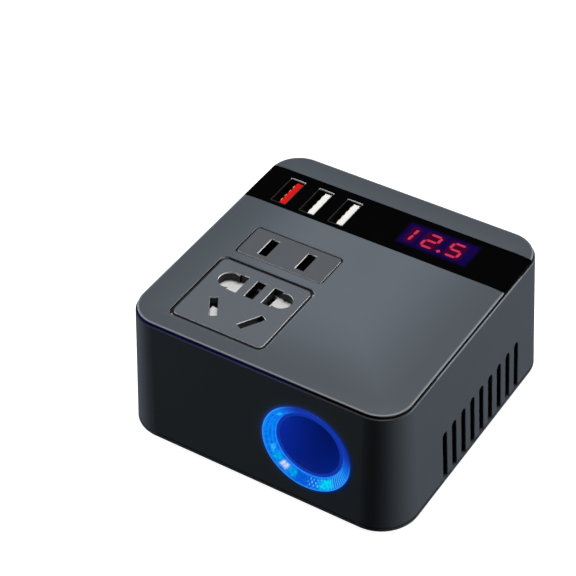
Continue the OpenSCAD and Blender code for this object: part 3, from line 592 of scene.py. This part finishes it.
def wound(name, color, metallic, across, pitch):
    """Turns of wire: ridges across a direction, one per pitch in millimetres."""
    t = Tree(name)
    ridge = t.wave(t.times(t.along(across), 2 * math.pi / (pitch * MM)))
    # the colour darkens into the grooves between turns as painted shade
    t.set(color=t.mix(ridge, scaled(color, 0.45), scaled(color, 1.15)), metallic=metallic, specular=0.5)
    t.roughen(t.noise(700), 0.22, 0.38)
    t.bump(ridge, 0.12 * MM)
    return t.material


def leaf(name, color, rough, spread, patch, grain, depth, metallic=0.0, specular=0.5):
    """A plain moulded or cast surface: the settings of surface in the table's order."""
    return surface(name, color, rough, metallic, spread, patch, grain, depth, specular=specular)


def shell_nickel(name):
    """Nickel shell: painted shade inside the mouth, a painted highlight at its back end."""
    t = Tree(name)
    _, y, z = t.axes()
    grain = t.noise(1600, 2.0, (1, 1, 0.08))
    deep = t.past((46.70, 46.80), z, 0.97, 0.0)
    back = t.times(t.past((33.6, 33.9), y), t.past((46.3, 46.6), z))
    color = t.mix(deep, (0.055, 0.055, 0.060), (0.002, 0.002, 0.003))
    t.set(color=t.mix(back, color, (0.80, 0.80, 0.82)), metallic=0.7, specular=0.5)
    t.roughen(grain, 0.25, 0.40, smooth=False)
    t.bump(grain, 0.003 * MM)
    return t.material


def led_material():
    """Small lamps behind the lens."""
    t = Tree("led")
    grain = t.noise(900, 2.0)
    t.set(color=(0.8, 0.85, 0.9), emission=t.mix(grain, (0.25, 0.55, 1.0), (0.5, 0.8, 1.0)), strength=1.5)
    t.roughen(grain, 0.2, 0.3)
    t.bump(grain, 0.002 * MM)
    return t.material


# ---------- one look per node ----------

OUTLET = (0.068, 0.076, 0.089)
INSERT = (0.056, 0.060, 0.068)
looks = {
    "top_cover": case_plastic("case_lid", lid=True, cut=0.35),
    "housing": case_plastic("case_wall", lit=True),
    "base_plate": case_plastic("case_base", scaled(CASE, 0.82), seat=True),
    "rubber_feet": leaf("foot_rubber", (0.012, 0.012, 0.013), (0.7, 0.9), 0.2, 120, 1300, 0.02),
    "case_screws": brushed("screw_steel", (0.48, 0.48, 0.50), (0.25, 0.45), (1, 1, 0.2)),
    "display_strip": gloss_black("gloss_strip"),
    "display_window": display_glass("display_glow"),
    "display_digits": digit_red("digit_red"),
    "display_module": leaf("module_white", (0.78, 0.78, 0.75), (0.4, 0.55), 0.04, 80, 1500, 0.006),
    "display_board": circuit_board("board_display"),
    "usb_board": circuit_board("board_usb"),
    "main_board": circuit_board("board_main"),
    "two_pin_insert": case_plastic("outlet_insert", INSERT, cut=0.55),
    "outlet_plate": case_plastic("outlet_face", OUTLET, cut=0.4),
    "outlet_carrier": leaf("carrier_black", (0.010, 0.010, 0.011), (0.5, 0.7), 0.15, 90, 1800, 0.008),
    "socket_barrel": lit_metal("socket_nickel"),
    "socket_insulator": leaf("insulator_brown", (0.05, 0.016, 0.006), (0.5, 0.7), 0.25, 400, 1500, 0.01),
    "socket_nut": leaf("nut_black", (0.014, 0.014, 0.015), (0.4, 0.6), 0.15, 90, 1600, 0.01),
    "transformer_core": leaf("ferrite", (0.030, 0.030, 0.033), (0.55, 0.8), 0.3, 300, 900, 0.03),
    "transformer_bobbin": leaf("bobbin_black", (0.014, 0.014, 0.015), (0.4, 0.6), 0.15, 90, 1600, 0.01),
    "transformer_winding": wound("winding", (0.70, 0.45, 0.06), 0.0, (0, 0, 1), 1.2),
    "choke_core": leaf("choke_yellow", (0.50, 0.40, 0.05), (0.4, 0.6), 0.2, 220, 900, 0.02),
    "choke_winding": wound("copper_wire", (0.62, 0.26, 0.10), 0.9, (0.7, 0.7, 0.1), 0.9),
    "power_transistors": leaf("transistor_black", (0.016, 0.016, 0.018), (0.5, 0.7), 0.2, 300, 1300, 0.015),
    "heat_sink": brushed("heat_sink_metal", (0.60, 0.61, 0.63), (0.28, 0.48), (0.05, 1, 1)),
    "fuse": leaf("fuse_green", (0.02, 0.34, 0.08), (0.15, 0.25), 0.12, 160, 700, 0.004),
    "fuse_holder": leaf("holder_black", (0.014, 0.014, 0.015), (0.4, 0.6), 0.15, 90, 1600, 0.01),
    "terminal_block": leaf("terminal_green", (0.015, 0.20, 0.07), (0.4, 0.55), 0.12, 120, 1400, 0.008),
    "fan_frame": leaf("fan_black", (0.012, 0.012, 0.013), (0.4, 0.55), 0.15, 90, 1600, 0.008),
    "fan_rotor": leaf("rotor_black", (0.016, 0.016, 0.018), (0.3, 0.45), 0.15, 90, 1600, 0.006),
    "rocker_housing": leaf("rocker_frame", (0.012, 0.012, 0.013), (0.35, 0.5), 0.15, 90, 1600, 0.008),
    "rocker": leaf("rocker_black", (0.016, 0.016, 0.018), (0.25, 0.4), 0.15, 90, 1600, 0.006),
    "cable_gland": leaf("gland_rubber", (0.012, 0.012, 0.013), (0.5, 0.7), 0.15, 90, 1400, 0.01),
    "gland_nut": leaf("gland_nut_black", (0.014, 0.014, 0.015), (0.4, 0.6), 0.15, 90, 1600, 0.01),
    "switch_leads": leaf("lead_red", (0.42, 0.012, 0.012), (0.3, 0.45), 0.1, 120, 900, 0.006),
    "halo_board": leaf("halo_board_white", (0.78, 0.80, 0.80), (0.35, 0.5), 0.05, 200, 1200, 0.006),
}
capacitor = leaf("capacitor_sleeve", (0.010, 0.012, 0.055), (0.12, 0.25), 0.15, 150, 500, 0.004)
nickel = shell_nickel("nickel")
brass = brushed("brass", (0.72, 0.50, 0.20), (0.25, 0.42), (1, 0.1, 1))
spring_steel = brushed("spring_steel", (0.58, 0.58, 0.60), (0.22, 0.38), (1, 0.2, 1))
white_plastic = leaf("white_plastic", (0.62, 0.62, 0.60), (0.32, 0.48), 0.05, 140, 1800, 0.005)
red_plastic = leaf("red_plastic", (0.46, 0.005, 0.004), (0.4, 0.55), 0.10, 140, 1800, 0.005, specular=0.12)
gold = leaf("gold", (0.55, 0.40, 0.20), (0.3, 0.45), 0.10, 200, 1600, 0.003, metallic=0.25)
lens = lens_material()
looks.update({
    "bus_capacitor": capacitor, "filter_capacitors": capacitor,
    "usb_shell_left": nickel, "usb_shell_middle": nickel, "usb_shell_right": nickel,
    "usb_tongue_left": red_plastic, "usb_tongue_middle": white_plastic, "usb_tongue_right": white_plastic,
    "usb_contacts": gold, "two_pin_contacts": brass, "live_contact": brass, "neutral_contact": brass,
    "earth_contact": brass, "socket_centre_contact": brass, "rocker_terminals": brass,
    "two_pin_springs": spring_steel, "three_pin_spring": spring_steel,
    "board_screws": looks["case_screws"],
    "two_pin_shutter": white_plastic, "three_pin_shutter": white_plastic,
    "halo_leds": led_material(), "halo_ring": lens,
})

for name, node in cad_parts.items():
    node.data.materials.clear()
    node.data.materials.append(looks[name])
    for face in node.data.polygons:
        face.material_index = 0

# ---------- the lit lens, with moulded ribs ----------

SLEEVE_BOTTOM = -5.9
FUNNEL_POINTS = 9
RIB_HEIGHT = 0.09
POINTS_PER_RIB = 4


def lens_section():
    """The ring's section as points (radius, height, height of ribs), in millimetres."""
    upper = (RING_R - 0.86, 0.10)
    lower = (MOUTH_R + 0.12, -1.86)
    outside = [(SLEEVE_R, SLEEVE_BOTTOM), (SLEEVE_R, -0.02), (RING_R, 0.03), (RING_R, 0.12),
               (RING_R - 0.06, 0.19), (RING_R - 0.18, 0.24), (RING_R - 0.35, 0.25),
               (RING_R - 0.62, 0.24), (RING_R - 0.78, 0.18)]
    inside = [(MOUTH_R + 0.02, -2.0), (MOUTH_R, -2.15), (MOUTH_R, SLEEVE_BOTTOM)]
    section = [(r, z, 0.0) for r, z in outside]
    for i in range(FUNNEL_POINTS):
        f = i / (FUNNEL_POINTS - 1)
        ribs = RIB_HEIGHT * math.sin(math.pi * (i + 0.6) / (FUNNEL_POINTS + 0.2))
        section.append((upper[0] + (lower[0] - upper[0]) * f, upper[1] + (lower[1] - upper[1]) * f, ribs))
    return section + [(r, z, 0.0) for r, z in inside]


def lens_circle(mesh, r, z, ribs):
    """Vertices round the axis at one point of the section."""
    steps = POINTS_PER_RIB * RIB_COUNT
    circle = []
    for i in range(steps):
        angle = 2 * math.pi * i / steps
        rise = ribs * (0.5 - 0.5 * math.cos(RIB_COUNT * angle))
        reach = r - rise * 0.3
        point = (reach * math.cos(angle) * MM, reach * math.sin(angle) * MM, (z + rise) * MM)
        circle.append(mesh.verts.new(point))
    return circle


def make_lens():
    """Funnel ring with fine radial ribs, in the place of the plain CAD ring."""
    mesh = bmesh.new()
    circles = [lens_circle(mesh, *point) for point in lens_section()]
    for here, following in zip(circles, circles[1:] + circles[:1]):
        for i in range(len(here)):
            j = (i + 1) % len(here)
            mesh.faces.new((here[i], following[i], following[j], here[j]))
    bmesh.ops.recalc_face_normals(mesh, faces=mesh.faces)
    data = bpy.data.meshes.new("halo_lens")
    mesh.to_mesh(data)
    mesh.free()
    data.shade_smooth()
    piece = bpy.data.objects.new("halo_lens", data)
    bpy.context.scene.collection.objects.link(piece)
    piece.matrix_world = SOCKET
    data.materials.append(lens)
    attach(piece, "case")
    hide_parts("halo_ring")


make_lens()

# ---------- studio ----------

FLOOR_HALF = 6000.0
FLOOR_Z = -0.03
FLOOR_LIGHT = 0.93


def make_floor():
    """A pale floor just under the feet that neither lights the part nor shows in its gloss."""
    half = FLOOR_HALF * MM
    z = FLOOR_Z * MM
    corners = [(-half, -half, z), (half, -half, z), (half, half, z), (-half, half, z)]
    data = bpy.data.meshes.new("floor")
    data.from_pydata(corners, [], [(0, 1, 2, 3)])
    floor = bpy.data.objects.new("floor", data)
    bpy.context.scene.collection.objects.link(floor)
    t = Tree("floor")
    t.set(color=t.mix(t.noise(3.0), (0.30, 0.30, 0.30), (0.33, 0.33, 0.33)), rough=0.8, specular=0.05,
          emission=(FLOOR_LIGHT, FLOOR_LIGHT, FLOOR_LIGHT), strength=1.0)
    data.materials.append(t.material)
    floor.visible_glossy = False
    floor.visible_diffuse = False


def area_light(name, place, target, size, power):
    """A rectangular lamp at a place, turned to face a target."""
    data = bpy.data.lights.new(name, "AREA")
    data.shape = "RECTANGLE"
    data.size, data.size_y = size
    data.energy = power
    light = bpy.data.objects.new(name, data)
    light.location = place
    light.rotation_euler = (Vector(place) - Vector(target)).to_track_quat("Z", "Y").to_euler()
    bpy.context.scene.collection.objects.link(light)
    return light


def make_world():
    """White behind everything for the camera, and a faint cool light for the part."""
    world = bpy.data.worlds.new("studio")
    bpy.context.scene.world = world
    world.use_nodes = True
    nodes, links = world.node_tree.nodes, world.node_tree.links
    nodes.clear()
    shown = nodes.new("ShaderNodeBackground")
    shown.inputs["Color"].default_value = (0.99, 0.99, 0.99, 1)
    lighting = nodes.new("ShaderNodeBackground")
    lighting.inputs["Color"].default_value = (0.9, 0.95, 1.0, 1)
    lighting.inputs["Strength"].default_value = 0.022
    path = nodes.new("ShaderNodeLightPath")
    mix = nodes.new("ShaderNodeMixShader")
    output = nodes.new("ShaderNodeOutputWorld")
    links.new(path.outputs["Is Camera Ray"], mix.inputs["Fac"])
    links.new(lighting.outputs[0], mix.inputs[1])
    links.new(shown.outputs[0], mix.inputs[2])
    links.new(mix.outputs[0], output.inputs["Surface"])


def make_lights():
    """Two lights that show in reflections, and two soft fills that don't."""
    area_light("top", (0.02, 0.06, 0.75), (0, 0, 0.04), (0.45, 0.45), 5.6)
    area_light("right", (0.72, 0.36, 0.22), (0, 0, 0.03), (0.40, 0.35), 5.6)
    for name, place, power in (("left", (-0.75, -0.04, 0.25), 8.5), ("rear", (-0.1, 0.8, 0.3), 1.8)):
        fill = area_light(name, place, (0, 0, 0.03), (0.4, 0.35), power)
        fill.visible_glossy = False


make_floor()
make_world()
make_lights()
